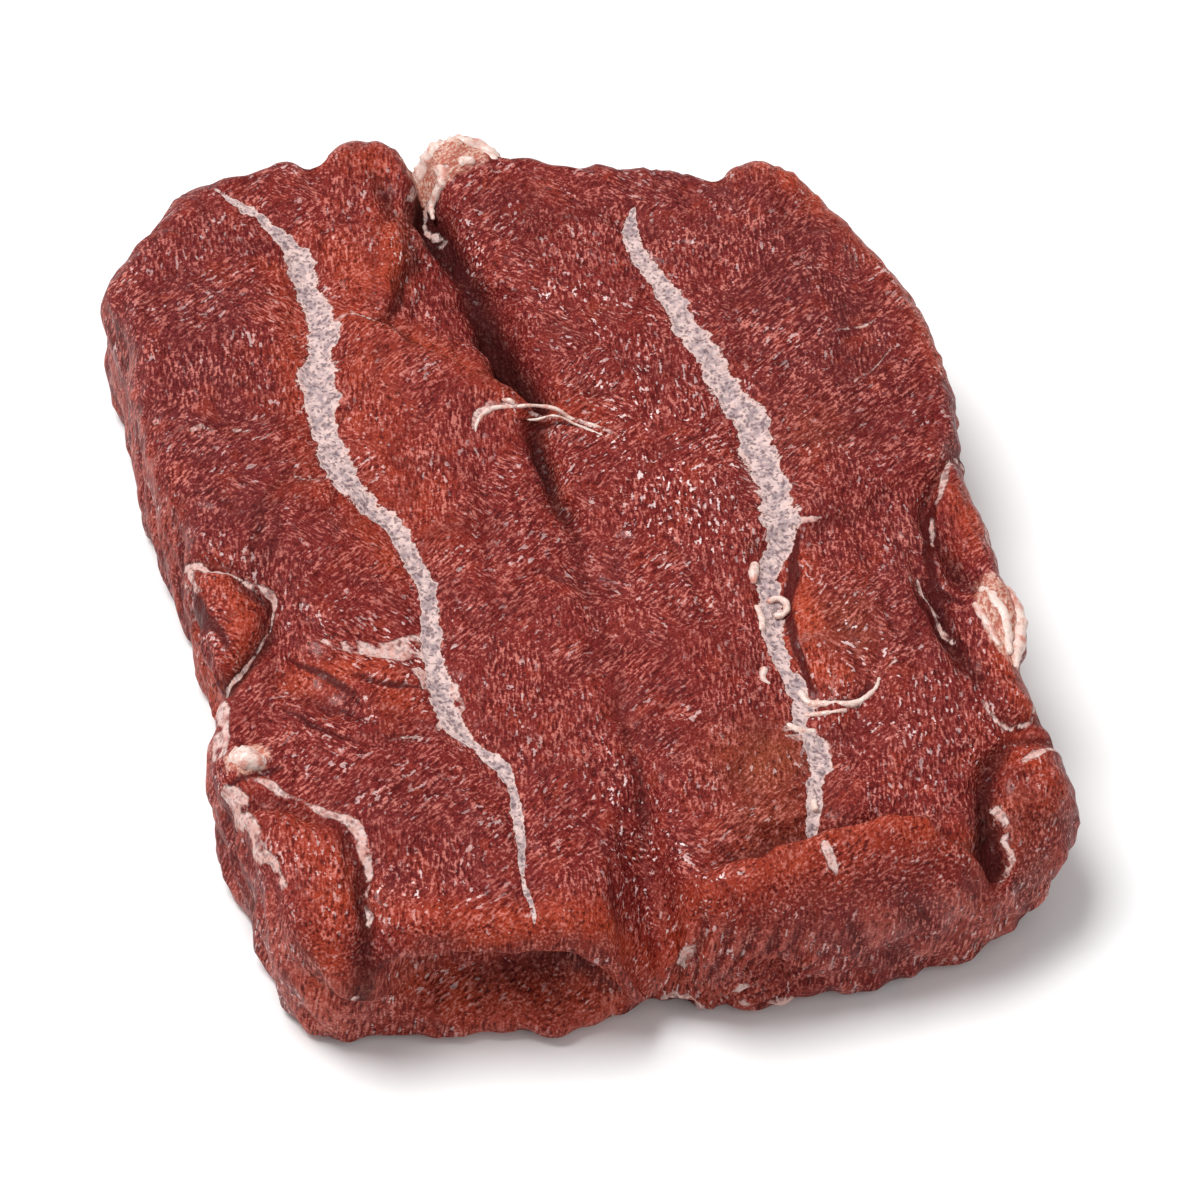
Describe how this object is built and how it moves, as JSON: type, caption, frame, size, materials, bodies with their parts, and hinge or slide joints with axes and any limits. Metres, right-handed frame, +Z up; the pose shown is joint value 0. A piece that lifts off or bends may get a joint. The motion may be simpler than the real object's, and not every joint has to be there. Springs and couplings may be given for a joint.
{
  "type": "butterfly steak",
  "caption": "Raw boneless beef steak split along its middle and laid open, with a white gristle seam along each half, a fold down the centre and a turned-up lip at the front. Rests flat.",
  "frame": {"origin": "centre of the bounding box on the table, under the steak", "axes": "+Z up out of the cut face, +X to the right, +Y to the back along the centre fold and the gristle seams; the turned-up lip is at the front"},
  "size_m": [0.097, 0.123, 0.024],
  "materials": {
    "raw_beef": "moist raw meat, satin with small wet glints, fine grain",
    "gristle": "whitish gristle and fat, satin"
  },
  "bodies": {
    "root": {"steak": "raw_beef"}
  },
  "joints": []
}
